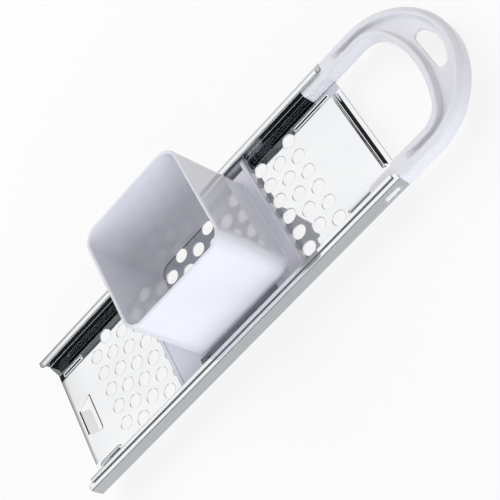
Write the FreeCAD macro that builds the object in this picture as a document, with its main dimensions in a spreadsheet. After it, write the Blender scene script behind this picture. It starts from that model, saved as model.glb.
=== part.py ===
import FreeCAD
import Part
import Sketcher
import math
import os

# Spaetzle maker: a folded, perforated steel frame laid over a pot, a moulded loop
# handle snapped into its side channels, and an open hopper that slides along it.
# Millimetres. Every body is drawn from the rails' low end, at the rails' underside.

SIZES = {
    # whole tool
    "overall_length": 315.2,
    "handle_reach": 67.2,
    "rail_half_width": 50,
    "sheet": 0.8,
    # side rails, a channel with a lip that is hemmed back on itself
    "lip_top": 9.6,
    "lip_width": 6.2,
    "hem_width": 2.8,
    "hem_gap": 0.3,
    "hem_trim": 3.2,
    "fold_outer_radius": 1.2,
    "lip_corner_radius": 2.5,
    "channel_width": 12.25,
    # grating plate
    "plate_rise": 0.86,
    "step_radius": 0.4,
    "step_lead": 0.35,
    "plate_set_back": 4.2,
    "floor_end_margin": 2.4,
    # holes, in rows of five and six
    "hole_diameter": 8.3,
    "hole_margin": 5.25,
    "row_spacing": 11.48,
    "row_margin": 5.55,
    "first_row": 34.4,
    # raised travel stops and the stiffening rib
    "bead_height": 1.1,
    "bead_margin": 0.45,
    "bead_width": 4,
    "bead_top_radius": 0.7,
    "low_bead_start": 7.1,
    "low_bead_end": 25.6,
    "high_bead_length": 29.1,
    "high_bead_margin": 6.6,
    "rib_margin": 2.6,
    "rib_width": 4.4,
    "rib_end_margin": 5.75,
    "rib_corner_radius": 2,
    # pot hook, cut from the plate and bent down
    "hook_root": 8.6,
    "hook_cut_end": 18.1,
    "hook_root_left": 5.7,
    "hook_root_right": 12.5,
    "hook_tip_left": 10.4,
    "hook_tip_right": 16.1,
    "hook_drop": 8.9,
    "hook_bend_radius": 1.5,
    "hook_tip_radius": 2,
    "cut_out_radius": 1,
    # slots that take the handle's snap nubs
    "slot_margin": 4,
    "slot_length": 11,
    "slot_low": 2.3,
    "slot_high": 6.3,
    # handle
    "handle_height": 10,
    "handle_proud": 0.2,
    "loop_top_radius": 3.5,
    "grip_top_radius": 1.2,
    "loop_underside_radius": 1,
    "handle_bow_flatness": 4.5,
    "handle_corner_rise": 9.2,
    "loop_width": 12.3,
    "loop_end_width": 25.3,
    "grip_bow_flatness": 19,
    "grip_corner_rise": 23.9,
    "dish_margin": 8,
    "dish_floor": 6.1,
    "web_thickness": 2,
    "outer_rim_width": 4.5,
    "outer_rim_end_width": 5.2,
    "inner_rim_width": 3.2,
    "inner_rim_end_width": 3.9,
    "hang_hole_margin": 2.6,
    "hang_hole_bulge": 5,
    "hang_hole_side": 5.2,
    "hang_hole_half_width": 15,
    "hang_hole_corner_radius": 3,
    "leg_length": 17.6,
    "leg_margin": 0.65,
    "leg_clearance": 0.1,
    "leg_end_radius": 3,
    "leg_overlap": 0.5,
    "nub_clearance": 0.4,
    # hopper and its sliding base
    "base_length": 99.5,
    "base_rest_share": 0.62615,
    "base_top": 7.3,
    "base_wall": 2,
    "base_margin": 4.8,
    "base_corner_radius": 1.5,
    "ridge_height": 0.7,
    "ridge_margin": 2.2,
    "ridge_width": 2.5,
    "ridge_top_radius": 0.5,
    "runner_foot_height": 1.5,
    "running_gap": 0.3,
    "low_ledge": 16.2,
    "high_ledge": 7.5,
    "hopper_margin": 0.35,
    "hopper_foot_radius": 9,
    "hopper_foot_round": 2.5,
    "hopper_radius_growth": 1.4,
    "hopper_low_lean": 0.4,
    "hopper_high_lean": 1.5,
    "hopper_side_lean": 1,
    "hopper_rim_height": 61.7,
    "hopper_rim_round": 0.7,
    "hopper_wall": 2,
    "slit_margin": 1.5,
    "slit_end_margin": 13,
    "pocket_margin": 2.7,
    "pocket_length": 11,
}

# Sizes that follow from the ones above.
FOLLOWING = {
    "rail_length": "overall_length - handle_reach",
    "hem_inner": "rail_half_width - lip_width",
    "hem_outer": "hem_inner + hem_width",
    "plate_half_width": "rail_half_width - channel_width",
    "floor_end_half_width": "rail_half_width - floor_end_margin",
    "hole_spacing": "(plate_half_width - hole_margin) / 2.5",
    "bead_outer": "plate_half_width - bead_margin",
    "bead_inner": "bead_outer - bead_width",
    "high_bead_end": "rail_length - high_bead_margin",
    "high_bead_start": "high_bead_end - high_bead_length",
    "rib_end": "rail_length - rib_margin",
    "rib_start": "rib_end - rib_width",
    "rib_half_length": "plate_half_width - rib_end_margin",
    "slot_end": "rail_length - slot_margin",
    "slot_start": "slot_end - slot_length",
    "handle_half_width": "rail_half_width + handle_proud",
    "handle_bend_start": "overall_length - handle_half_width + handle_bow_flatness",
    "handle_corner_radius": "handle_half_width - handle_corner_rise",
    "grip_half_width": "handle_half_width - loop_width",
    "grip_end": "overall_length - loop_end_width",
    "grip_bend_start": "grip_end - grip_half_width + grip_bow_flatness",
    "grip_corner_radius": "grip_half_width - grip_corner_rise",
    "dish_start": "rail_length + dish_margin",
    "dish_outer_half_width": "handle_half_width - outer_rim_width",
    "dish_outer_end": "overall_length - outer_rim_end_width",
    "dish_outer_radius": "dish_outer_half_width - handle_corner_rise",
    "dish_inner_half_width": "grip_half_width + inner_rim_width",
    "dish_inner_end": "grip_end + inner_rim_end_width",
    "dish_inner_radius": "dish_inner_half_width - grip_corner_rise",
    "hang_hole_end": "dish_outer_end - hang_hole_margin",
    "hang_hole_shoulder": "hang_hole_end - hang_hole_bulge",
    "hang_hole_start": "hang_hole_shoulder - hang_hole_side",
    "leg_start": "rail_length - leg_length",
    "leg_inner": "plate_half_width + leg_margin",
    "travel": "high_bead_start - low_bead_end - base_length",
    "base_start": "low_bead_end + travel * base_rest_share",
    "base_end": "base_start + base_length",
    "base_half_width": "rail_half_width - base_margin",
    "ridge_half_width": "base_half_width - ridge_margin",
    "hopper_foot_start": "base_start + low_ledge",
    "hopper_foot_end": "base_end - high_ledge",
    "hopper_foot_half_width": "plate_half_width - hopper_margin",
    "hopper_rim_start": "hopper_foot_start + hopper_low_lean",
    "hopper_rim_end": "hopper_foot_end - hopper_high_lean",
    "hopper_rim_half_width": "hopper_foot_half_width + hopper_side_lean",
    "hopper_rim_radius": "hopper_foot_radius + hopper_radius_growth",
    "slit_start": "hopper_foot_start + slit_margin",
    "slit_end": "hopper_foot_end - slit_end_margin",
    "pocket_end": "base_end - pocket_margin",
    "pocket_start": "pocket_end - pocket_length",
}

doc = FreeCAD.newDocument("SpaetzleMaker")
sheet = doc.addObject("Spreadsheet::Sheet", "Sizes")
cells = [(alias, str(value)) for alias, value in SIZES.items()]
cells += [(alias, f"={rule}") for alias, rule in FOLLOWING.items()]
for number, (alias, content) in enumerate(cells, start=1):
    sheet.set(f"A{number}", alias)
    sheet.set(f"B{number}", content)
    sheet.setAlias(f"B{number}", alias)
doc.recompute()
VALUES = {alias: float(sheet.get(alias)) for alias, _ in cells}


class Size:
    """A length and the expression over the sheet's sizes that gives it."""

    def __init__(self, value, text):
        self.value = value
        self.text = text

    def __add__(self, other):
        other = size(other)
        return Size(self.value + other.value, f"({self.text} + {other.text})")

    def __sub__(self, other):
        other = size(other)
        return Size(self.value - other.value, f"({self.text} - {other.text})")

    def __mul__(self, other):
        other = size(other)
        return Size(self.value * other.value, f"({self.text} * {other.text})")

    def __truediv__(self, other):
        other = size(other)
        return Size(self.value / other.value, f"({self.text} / {other.text})")

    def __neg__(self):
        return Size(-self.value, f"(0 - {self.text})")


def size(item):
    if isinstance(item, Size):
        return item
    if isinstance(item, str):
        return Size(VALUES[item], f"Sizes.{item}")
    return Size(float(item), str(item))


def new_body(label):
    """A body drawn from the rails' low end and set into the tool's own frame."""
    body = doc.addObject("PartDesign::Body", label)
    body.Label = label
    body.setExpression("Placement.Base.x", "0 - Sizes.overall_length / 2")
    body.setExpression("Placement.Base.z", "Sizes.hook_drop")
    return body


def origin_plane(body, role):
    return next(f for f in body.Origin.OriginFeatures if f.Role == role)


def fix_point(sketch, geometry, point, along, up):
    """Hold a point at its driven coordinates, or at the one that is given."""
    for kind, axis, place in (("DistanceX", -2, along), ("DistanceY", -1, up)):
        if place is None:
            continue
        if place.value == 0:
            rule = Sketcher.Constraint("PointOnObject", geometry, point, axis)
            sketch.addConstraint(rule)
            continue
        rule = Sketcher.Constraint(kind, geometry, point, place.value)
        index = sketch.addConstraint(rule)
        sketch.setExpression(f"Constraints[{index}]", place.text)


def new_sketch(body, name, role, offset):
    sketch = body.newObject("Sketcher::SketchObject", name)
    sketch.AttachmentSupport = [(origin_plane(body, role), "")]
    sketch.MapMode = "FlatFace"
    sketch.setExpression("AttachmentOffset.Base.z", size(offset).text)
    return sketch


def draw_loop(sketch, corners):
    """A closed outline. A corner is (along, up) for a straight side to the next
    corner, or (along, up, centre along, centre up, radius, turn) for an arc."""
    first = sketch.GeometryCount
    ends = []
    count = len(corners)
    for index, corner in enumerate(corners):
        start = [size(part) for part in corner[:2]]
        stop = [size(part) for part in corners[(index + 1) % count][:2]]
        a = FreeCAD.Vector(start[0].value, start[1].value, 0)
        b = FreeCAD.Vector(stop[0].value, stop[1].value, 0)
        if len(corner) == 2:
            sketch.addGeometry(Part.LineSegment(a, b), False)
            ends.append((1, 2))
            continue
        centre = FreeCAD.Vector(size(corner[2]).value, size(corner[3]).value, 0)
        radius = size(corner[4])
        turn = corner[5]
        low, high = (a, b) if turn > 0 else (b, a)
        from_angle = math.atan2(low.y - centre.y, low.x - centre.x)
        to_angle = math.atan2(high.y - centre.y, high.x - centre.x)
        if to_angle <= from_angle:
            to_angle += 2 * math.pi
        circle = Part.Circle(centre, FreeCAD.Vector(0, 0, 1), radius.value)
        sketch.addGeometry(Part.ArcOfCircle(circle, from_angle, to_angle), False)
        ends.append((1, 2) if turn > 0 else (2, 1))
    for index, corner in enumerate(corners):
        geometry = first + index
        following = first + (index + 1) % count
        rule = Sketcher.Constraint(
            "Coincident", geometry, ends[index][1], following, ends[(index + 1) % count][0]
        )
        sketch.addConstraint(rule)
    for index, corner in enumerate(corners):
        geometry = first + index
        fix_point(sketch, geometry, ends[index][0], size(corner[0]), size(corner[1]))
        if len(corner) > 2:
            # An arc's ends are held, so one coordinate of its centre settles it:
            # the one that the ends leave most free.
            after = corners[(index + 1) % count]
            run = abs(size(after[0]).value - size(corner[0]).value)
            climb = abs(size(after[1]).value - size(corner[1]).value)
            along = size(corner[2]) if climb >= run else None
            up = size(corner[3]) if climb < run else None
            fix_point(sketch, geometry, 3, along, up)


def draw_box(sketch, low, high, near, far):
    draw_loop(sketch, [(low, near), (high, near), (high, far), (low, far)])


def draw_rounded_box(sketch, low, high, near, far, radius):
    low, high, near, far, r = [size(s) for s in (low, high, near, far, radius)]
    draw_loop(
        sketch,
        [
            (low + r, near),
            (high - r, near, high - r, near + r, r, 1),
            (high, near + r),
            (high, far - r, high - r, far - r, r, 1),
            (high - r, far),
            (low + r, far, low + r, far - r, r, 1),
            (low, far - r),
            (low, near + r, low + r, near + r, r, 1),
        ],
    )


def draw_stadium(sketch, low, high, near, far):
    """A slot with round ends, longer along its first direction."""
    low, high, near, far = [size(s) for s in (low, high, near, far)]
    r = (far - near) / 2
    middle = (far + near) / 2
    draw_loop(
        sketch,
        [
            (low + r, near),
            (high - r, near, high - r, middle, r, 1),
            (high - r, far),
            (low + r, far, low + r, middle, r, 1),
        ],
    )


def feature(body, kind, name, sketch, length, reverse=False):
    item = body.newObject(kind, name)
    item.Profile = sketch
    item.setExpression("Length", size(length).text)
    item.Reversed = reverse
    doc.recompute()
    return item


def pad(body, name, sketch, length, reverse=False):
    return feature(body, "PartDesign::Pad", name, sketch, length, reverse)


def pocket(body, name, sketch, length, reverse=False):
    """Cut away from the sketch's own facing side, or along it when reversed."""
    before = body.Shape.Volume
    item = feature(body, "PartDesign::Pocket", name, sketch, length, reverse)
    if body.Shape.Volume >= before:
        raise ValueError(f"{name} cuts nothing")
    return item


def edges_where(shape, test):
    """Names of the edges whose box centre and box size pass a test."""
    names = []
    for index, edge in enumerate(shape.Edges, start=1):
        box = edge.BoundBox
        span = FreeCAD.Vector(box.XLength, box.YLength, box.ZLength)
        if test(box.Center, span):
            names.append(f"Edge{index}")
    return names


def fillet(body, name, radius, test):
    """Round the edges that pass a test, in the body's own coordinates."""
    base = body.Tip
    shape = base.Shape
    names = edges_where(shape, test)
    if not names:
        raise ValueError(f"{name} finds no edges")
    item = body.newObject("PartDesign::Fillet", name)
    item.Base = (base, names)
    item.setExpression("Radius", size(radius).text)
    doc.recompute()
    return item


def mirrored(body, name, original, role):
    item = body.newObject("PartDesign::Mirrored", name)
    item.Originals = [original]
    item.MirrorPlane = (origin_plane(body, role), [""])
    body.Tip = item
    doc.recompute()
    return item


def near(value, target, slack=0.02):
    return abs(value - target) < slack


def S(alias):
    return VALUES[alias]


length = size("rail_length")
sheet_t = size("sheet")
plate_top = size("plate_rise") + sheet_t
lip_under = size("lip_top") - sheet_t
hem_low = size("lip_top") + "hem_gap"
hem_top = hem_low + sheet_t
wall_inside = size("rail_half_width") - sheet_t

# ---------------------------------------------------------------- steel frame
frame = new_body("steel_frame")

step = size("plate_rise")
half = [
    (size("plate_half_width") - "step_lead", size("plate_rise")),
    (size("plate_half_width") - "step_lead" + step, size(0)),
    (size("rail_half_width"), size(0)),
    (size("rail_half_width"), size("lip_top")),
    (size("hem_inner") + sheet_t, size("lip_top")),
    (size("hem_inner") + sheet_t, hem_low),
    (size("hem_outer"), hem_low),
    (size("hem_outer"), hem_top),
    (size("hem_inner"), hem_top),
    (size("hem_inner"), lip_under),
    (wall_inside, lip_under),
    (wall_inside, sheet_t),
    (size("plate_half_width") + step, sheet_t),
    (size("plate_half_width"), plate_top),
]
profile = new_sketch(frame, "SheetProfile", "YZ_Plane", 0)
draw_loop(profile, half + [(-along, up) for along, up in reversed(half)])
pad(frame, "FoldedSheet", profile, length)


def fold_edges(half_width, height):
    target_y = size(half_width).value
    target_z = size(height).value
    return lambda c, s: (
        s.x > S("rail_length") - 0.1
        and s.y < 0.01
        and near(abs(c.y), target_y)
        and near(c.z, target_z)
    )


def any_of(tests):
    return lambda c, s: any(test(c, s) for test in tests)


fillet(
    frame,
    "OuterFolds",
    "fold_outer_radius",
    any_of(
        [
            fold_edges("rail_half_width", 0),
            fold_edges("rail_half_width", "lip_top"),
        ]
    ),
)
fillet(
    frame,
    "InnerFolds",
    size("fold_outer_radius") - sheet_t,
    any_of([fold_edges(wall_inside, lip_under), fold_edges(wall_inside, sheet_t)]),
)
fillet(
    frame,
    "HemFolds",
    (hem_top - lip_under) / 2 - 0.05,
    any_of([fold_edges("hem_inner", hem_top), fold_edges("hem_inner", lip_under)]),
)
fillet(
    frame,
    "PlateStep",
    "step_radius",
    any_of(
        [
            fold_edges("plate_half_width", plate_top),
            fold_edges(size("plate_half_width") + step, sheet_t),
        ]
    ),
)

# The plate ends short of the rails, and the channel floors slant back to it.
low_end = new_sketch(frame, "PlateLowEnd", "XY_Plane", plate_top + 1)
reach = size("floor_end_half_width")
set_back = size("plate_set_back")
draw_loop(
    low_end,
    [
        (-1, -reach),
        (0, -reach),
        (set_back, -size("plate_half_width")),
        (set_back, "plate_half_width"),
        (0, reach),
        (-1, reach),
    ],
)
pocket(frame, "PlateSetBack", low_end, plate_top + 2)

# The hem stops short of both rail ends and leaves the lip bare there.
trim = size("hem_trim")
fold_side = size("hem_inner") + sheet_t + 0.1


def draw_end_boxes(sketch, inner, outer):
    for low, high in ((size(-1), trim), (length - trim, length + 1)):
        draw_box(sketch, low, high, inner, outer)
        draw_box(sketch, low, high, -outer, -inner)


fold_trim = new_sketch(frame, "FoldTrim", "XY_Plane", hem_top + 1)
draw_end_boxes(fold_trim, size("hem_inner") - 0.5, fold_side)
pocket(frame, "FoldTrimmed", fold_trim, hem_top + 1 - lip_under + 0.5)
hem_cut = new_sketch(frame, "HemTrim", "XY_Plane", hem_top + 1)
draw_end_boxes(hem_cut, fold_side - 0.2, size("hem_outer") + 0.5)
pocket(frame, "HemTrimmed", hem_cut, hem_top + 1 - size("lip_top"))
fillet(
    frame,
    "LipCorners",
    "lip_corner_radius",
    lambda c, s: s.x < 0.01
    and s.y < 0.01
    and near(s.z, S("sheet"))
    and near(abs(c.y), fold_side.value)
    and (near(c.x, 0) or near(c.x, S("rail_length"))),
)

# Pot hook: a tongue cut out of the plate's low end and bent straight down.
cut_out = new_sketch(frame, "HookCutOut", "XY_Plane", plate_top + 1)
root = size("hook_root")
bend = size("hook_bend_radius")
draw_loop(
    cut_out,
    [
        (root - bend, -size("hook_root_right")),
        (root, -size("hook_root_right")),
        ("hook_cut_end", -size("hook_tip_right")),
        ("hook_cut_end", "hook_tip_left"),
        (root, "hook_root_left"),
        (root - bend, "hook_root_left"),
    ],
)
pocket(frame, "HookOpening", cut_out, plate_top + 2)
fillet(
    frame,
    "CutOutCorners",
    "cut_out_radius",
    lambda c, s: near(c.x, S("hook_cut_end")) and near(s.z, S("sheet")) and s.y < 0.01,
)
fold = new_sketch(frame, "HookFold", "XZ_Plane", -size("hook_root_left"))
draw_loop(
    fold,
    [
        (root - bend - 0.5, "plate_rise"),
        (root - bend, "plate_rise", root - bend, plate_top - bend, bend - sheet_t, -1),
        (root - sheet_t, plate_top - bend),
        (root - sheet_t, -0.5),
        (root, -0.5),
        (root, plate_top - bend, root - bend, plate_top - bend, bend, 1),
        (root - bend, plate_top),
        (root - bend - 0.5, plate_top),
    ],
)
pad(frame, "HookBend", fold, size("hook_root_left") + "hook_root_right")
tongue = new_sketch(frame, "HookTongue", "YZ_Plane", root - sheet_t)
draw_loop(
    tongue,
    [
        (-size("hook_root_right"), 0),
        (-size("hook_tip_right"), -size("hook_drop")),
        ("hook_tip_left", -size("hook_drop")),
        ("hook_root_left", 0),
    ],
)
pad(frame, "Hook", tongue, sheet_t)
fillet(
    frame,
    "HookTipCorners",
    "hook_tip_radius",
    lambda c, s: near(c.z, -S("hook_drop")) and near(s.x, S("sheet")) and s.y < 0.01,
)

# Raised beads that stop the hopper at both ends, and the rib by the handle.
embossed = [
    (sign, start, stop)
    for sign in (1, -1)
    for start, stop in (
        ("low_bead_start", "low_bead_end"),
        ("high_bead_start", "high_bead_end"),
    )
]


def draw_embossing(sketch, inset):
    for sign, start, stop in embossed:
        sides = [size("bead_inner") + inset, size("bead_outer") - inset]
        if sign < 0:
            sides = [-sides[1], -sides[0]]
        draw_stadium(sketch, size(start) + inset, size(stop) - inset, *sides)
    draw_rounded_box(
        sketch,
        size("rib_start") + inset,
        size("rib_end") - inset,
        -size("rib_half_length") + inset,
        size("rib_half_length") - inset,
        size("rib_corner_radius") - inset,
    )


emboss = new_sketch(frame, "Embossing", "XY_Plane", plate_top - 0.4)
draw_embossing(emboss, size(0))
pad(frame, "Beads", emboss, size("bead_height") + 0.4)
bead_top = plate_top + "bead_height"
fillet(
    frame,
    "BeadTops",
    "bead_top_radius",
    lambda c, s: near(c.z, bead_top.value) and s.z < 0.01,
)
hollow = new_sketch(frame, "EmbossingBack", "XY_Plane", 0)
draw_embossing(hollow, sheet_t)
pocket(frame, "BeadHollows", hollow, bead_top - sheet_t, True)

# The perforation: rows of five and rows of six, set half a spacing apart.
pitch = size("hole_spacing")


def punch(name, first_row, count, rows):
    """Alternate rows of one count, from one punched hole."""
    sketch = new_sketch(frame, name + "Start", "XY_Plane", plate_top + 1)
    radius = size("hole_diameter") / 2
    offset = pitch * ((count - 1) / 2)
    centre = FreeCAD.Vector(first_row.value, offset.value, 0)
    circle = Part.Circle(centre, FreeCAD.Vector(0, 0, 1), radius.value)
    sketch.addGeometry(circle, False)
    fix_point(sketch, 0, 3, first_row, offset)
    index = sketch.addConstraint(Sketcher.Constraint("Radius", 0, radius.value))
    sketch.setExpression(f"Constraints[{index}]", radius.text)
    start = pocket(frame, name + "First", sketch, plate_top + 2)
    grid = frame.newObject("PartDesign::MultiTransform", name)
    grid.Originals = [start]
    across = frame.newObject("PartDesign::LinearPattern", name + "Across")
    across.Direction = (origin_axis("Y_Axis"), [""])
    across.Reversed = True
    across.setExpression("Length", (pitch * (count - 1)).text)
    across.Occurrences = count
    along = frame.newObject("PartDesign::LinearPattern", name + "Along")
    along.Direction = (origin_axis("X_Axis"), [""])
    along.setExpression("Length", (size("row_spacing") * (2 * (rows - 1))).text)
    along.Occurrences = rows
    grid.Transformations = [across, along]
    frame.Tip = grid
    doc.recompute()


def origin_axis(role):
    return origin_plane(frame, role)


row_room = S("high_bead_start") - S("row_margin") - S("first_row")
row_count = int(row_room / S("row_spacing")) + 1
punch("RowsOfFive", size("first_row"), 5, (row_count + 1) // 2)
punch("RowsOfSix", size("first_row") + "row_spacing", 6, row_count // 2)

# Slots in the rails' outer walls for the handle's snap nubs.
slot = new_sketch(frame, "SnapSlot", "XZ_Plane", size("rail_half_width") + 1)
draw_stadium(slot, "slot_start", "slot_end", "slot_low", "slot_high")
near_slot = pocket(frame, "NearSnapSlot", slot, sheet_t + 1.5)
mirrored(frame, "SnapSlots", near_slot, "XZ_Plane")

# --------------------------------------------------------------------- handle
handle = new_body("handle")


def bow(half_width, bend_start, end, radius):
    """Corner and end arcs of a round-ended loop, each tangent to the next."""
    b, start, tip, r = [size(s) for s in (half_width, bend_start, end, radius)]
    d = tip - start
    rise = b - r
    big = (d * d + rise * rise - r * r) / ((d - r) * 2)
    centre = tip - big
    meet_x = centre + big * (start - centre) / (big - r)
    meet_y = big * rise / (big - r)
    return b, start, r, rise, big, centre, meet_x, meet_y


def bow_out(*shape):
    """Corners up one side, round the end and down the other, anticlockwise."""
    b, start, r, rise, big, centre, x, y = bow(*shape)
    return [
        (start, -b, start, -rise, r, 1),
        (x, -y, centre, 0, big, 1),
        (x, y, start, rise, r, 1),
        (start, b),
    ]


def bow_back(*shape):
    b, start, r, rise, big, centre, x, y = bow(*shape)
    return [
        (start, b, start, rise, r, -1),
        (x, y, centre, 0, big, -1),
        (x, -y, start, -rise, r, -1),
        (start, -b),
    ]


outer_bow = ("handle_half_width", "handle_bend_start", "overall_length", "handle_corner_radius")
grip_bow = ("grip_half_width", "grip_bend_start", "grip_end", "grip_corner_radius")
loop = new_sketch(handle, "LoopOutline", "XY_Plane", 0)
draw_loop(
    loop,
    [(length, -size("handle_half_width"))]
    + bow_out(*outer_bow)
    + [(length, "handle_half_width"), (length, "grip_half_width")]
    + bow_back(*grip_bow)
    + [(length, -size("grip_half_width"))],
)
pad(handle, "Loop", loop, "handle_height")

# Both legs reach into the rail channels, under the lips.
clear = size("leg_clearance")
leg_low = sheet_t + clear
leg_high = lip_under - clear
leg_outer = wall_inside - clear
legs = new_sketch(handle, "LegOutlines", "XY_Plane", leg_low)
for inner, outer in ((size("leg_inner"), leg_outer), (-leg_outer, -size("leg_inner"))):
    draw_box(legs, "leg_start", length + "leg_overlap", inner, outer)
pad(handle, "Legs", legs, leg_high - leg_low)
fillet(
    handle,
    "LegEnds",
    "leg_end_radius",
    lambda c, s: near(c.x, S("leg_start")) and s.x < 0.01 and s.y < 0.01 and s.z > 3,
)

# The loop is an H in section: a dish above and one below leave a web between two
# rims, and the hanging hole goes through the web.
dish_outer = ("dish_outer_half_width", "handle_bend_start", "dish_outer_end", "dish_outer_radius")
dish_inner = ("dish_inner_half_width", "grip_bend_start", "dish_inner_end", "dish_inner_radius")


def draw_dish(sketch):
    draw_loop(
        sketch,
        [("dish_start", -size("dish_outer_half_width"))]
        + bow_out(*dish_outer)
        + [
            ("dish_start", "dish_outer_half_width"),
            ("dish_start", "dish_inner_half_width"),
        ]
        + bow_back(*dish_inner)
        + [("dish_start", -size("dish_inner_half_width"))],
    )


dish = new_sketch(handle, "DishOutline", "XY_Plane", "handle_height")
draw_dish(dish)
pocket(handle, "Dish", dish, size("handle_height") - "dish_floor")
hang = new_sketch(handle, "HangHoleOutline", "XY_Plane", "handle_height")
bulge = size("hang_hole_end") - "hang_hole_shoulder"
hang_half = size("hang_hole_half_width")
hang_radius = (hang_half * hang_half + bulge * bulge) / (bulge * 2)
hang_centre = size("hang_hole_end") - hang_radius
draw_loop(
    hang,
    [
        ("hang_hole_start", -hang_half),
        ("hang_hole_shoulder", -hang_half, hang_centre, 0, hang_radius, 1),
        ("hang_hole_shoulder", hang_half),
        ("hang_hole_start", hang_half),
    ],
)
pocket(handle, "HangHole", hang, size("handle_height") + 1)
fillet(
    handle,
    "HangHoleCorners",
    "hang_hole_corner_radius",
    lambda c, s: (near(c.x, S("hang_hole_start")) or near(c.x, S("hang_hole_shoulder")))
    and near(abs(c.y), S("hang_hole_half_width"))
    and s.z > 1
    and s.x < 0.01,
)
fillet(
    handle,
    "LoopTopOutside",
    "loop_top_radius",
    lambda c, s: near(c.z, S("handle_height"))
    and s.z < 0.01
    and c.x > S("rail_length") + 1
    and (
        near(abs(c.y), S("handle_half_width"))
        or c.x + s.x / 2 > S("dish_outer_end") + 1
        or (abs(c.y) + s.y / 2 > S("dish_outer_half_width") + 1 and s.y > 1)
    ),
)
fillet(
    handle,
    "LoopTopInside",
    "grip_top_radius",
    lambda c, s: near(c.z, S("handle_height"))
    and s.z < 0.01
    and c.x > S("rail_length") + 1
    and abs(c.y) + s.y / 2 < S("grip_half_width") + 0.02
    and c.x + s.x / 2 < S("grip_end") + 0.02,
)
fillet(
    handle,
    "LoopUnderside",
    "loop_underside_radius",
    lambda c, s: near(c.z, 0)
    and s.z < 0.01
    and c.x > S("rail_length") + 1
    and not (
        c.x - s.x / 2 > S("hang_hole_start") - 0.1 and c.x + s.x / 2 < S("hang_hole_end") + 0.1
    ),
)
under_dish = new_sketch(handle, "UnderDishOutline", "XY_Plane", 0)
draw_dish(under_dish)
pocket(handle, "UnderDish", under_dish, size("dish_floor") - "web_thickness", True)

# Snap nubs on the legs' outer sides.
nub_gap = size("nub_clearance")
nub = new_sketch(handle, "NubOutline", "XZ_Plane", leg_outer - 0.5)
draw_stadium(
    nub,
    size("slot_start") + nub_gap,
    size("slot_end") - nub_gap,
    size("slot_low") + nub_gap,
    size("slot_high") - nub_gap,
)
near_nub = pad(handle, "NearNub", nub, size("rail_half_width") - leg_outer + 0.5)
mirrored(handle, "Nubs", near_nub, "XZ_Plane")

# ------------------------------------------------------------ hopper carriage
hopper = new_body("hopper_carriage")
gap = size("running_gap")
base_low = plate_top + gap
foot_low = sheet_t + gap
wall = size("base_wall")
half_base = size("base_half_width")

base = new_sketch(hopper, "BaseOutline", "XY_Plane", base_low)
base_corner = size("base_corner_radius")
draw_rounded_box(base, "base_start", "base_end", -half_base, half_base, base_corner)
pad(hopper, "Base", base, size("base_top") - base_low)
runner = new_sketch(hopper, "RunnerOutline", "XY_Plane", foot_low)
for inner, outer in (
    (half_base - wall, wall_inside - gap),
    (gap - wall_inside, wall - half_base),
):
    draw_rounded_box(runner, "base_start", "base_end", inner, outer, base_corner)
pad(hopper, "RunnerFeet", runner, "runner_foot_height")

foot = new_sketch(hopper, "HopperFoot", "XY_Plane", base_low)
draw_rounded_box(
    foot,
    "hopper_foot_start",
    "hopper_foot_end",
    -size("hopper_foot_half_width"),
    "hopper_foot_half_width",
    "hopper_foot_radius",
)
rim = new_sketch(hopper, "HopperRim", "XY_Plane", "hopper_rim_height")
draw_rounded_box(
    rim,
    "hopper_rim_start",
    "hopper_rim_end",
    -size("hopper_rim_half_width"),
    "hopper_rim_half_width",
    "hopper_rim_radius",
)
outside = hopper.newObject("PartDesign::AdditiveLoft", "HopperOutside")
outside.Profile = foot
outside.Sections = [rim]
outside.Ruled = True
doc.recompute()
fillet(
    hopper,
    "HopperFootRound",
    "hopper_foot_round",
    lambda c, s: near(c.z, S("base_top"))
    and s.z < 0.05
    and S("hopper_foot_start") - 0.5 < c.x < S("hopper_foot_end") + 0.5
    and abs(c.y) < S("hopper_foot_half_width") + 0.5,
)

# Under its top the base is a skirt and the hopper's own walls.
under = new_sketch(hopper, "UndersideOutline", "XY_Plane", 0)
draw_rounded_box(
    under,
    size("base_start") + wall,
    size("base_end") - wall,
    wall - half_base,
    half_base - wall,
    1,
)
draw_rounded_box(
    under,
    "hopper_foot_start",
    "hopper_foot_end",
    -size("hopper_foot_half_width"),
    "hopper_foot_half_width",
    "hopper_foot_radius",
)
pocket(hopper, "Underside", under, size("base_top") - wall, True)

# The hopper is open from its rim down to the plate.
t = size("hopper_wall")
inner_foot = new_sketch(hopper, "HopperMouthBelow", "XY_Plane", base_low - 1)
draw_rounded_box(
    inner_foot,
    size("hopper_foot_start") + t,
    size("hopper_foot_end") - t,
    t - size("hopper_foot_half_width"),
    size("hopper_foot_half_width") - t,
    size("hopper_foot_radius") - t,
)
inner_rim = new_sketch(hopper, "HopperMouthAbove", "XY_Plane", size("hopper_rim_height") + 1)
draw_rounded_box(
    inner_rim,
    size("hopper_rim_start") + t,
    size("hopper_rim_end") - t,
    t - size("hopper_rim_half_width"),
    size("hopper_rim_half_width") - t,
    size("hopper_rim_radius") - t,
)
inside = hopper.newObject("PartDesign::SubtractiveLoft", "HopperInside")
inside.Profile = inner_foot
inside.Sections = [inner_rim]
inside.Ruled = True
doc.recompute()
fillet(
    hopper,
    "HopperRimRound",
    "hopper_rim_round",
    lambda c, s: near(c.z, S("hopper_rim_height")) and s.z < 0.01,
)

# Slits beside the long walls, and the one pocket at the far corner.
slits = new_sketch(hopper, "SlitOutlines", "XY_Plane", size("base_top") + 4)
slit_in = size("hopper_foot_half_width") + 0.3
slit_out = half_base - wall
draw_box(slits, "slit_start", "slit_end", slit_in, slit_out)
draw_box(slits, "slit_start", "slit_end", -slit_out, -slit_in)
draw_box(slits, "pocket_start", "pocket_end", slit_in, slit_out)
pocket(hopper, "Slits", slits, size("base_top") + 4 - foot_low - "runner_foot_height")

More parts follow.
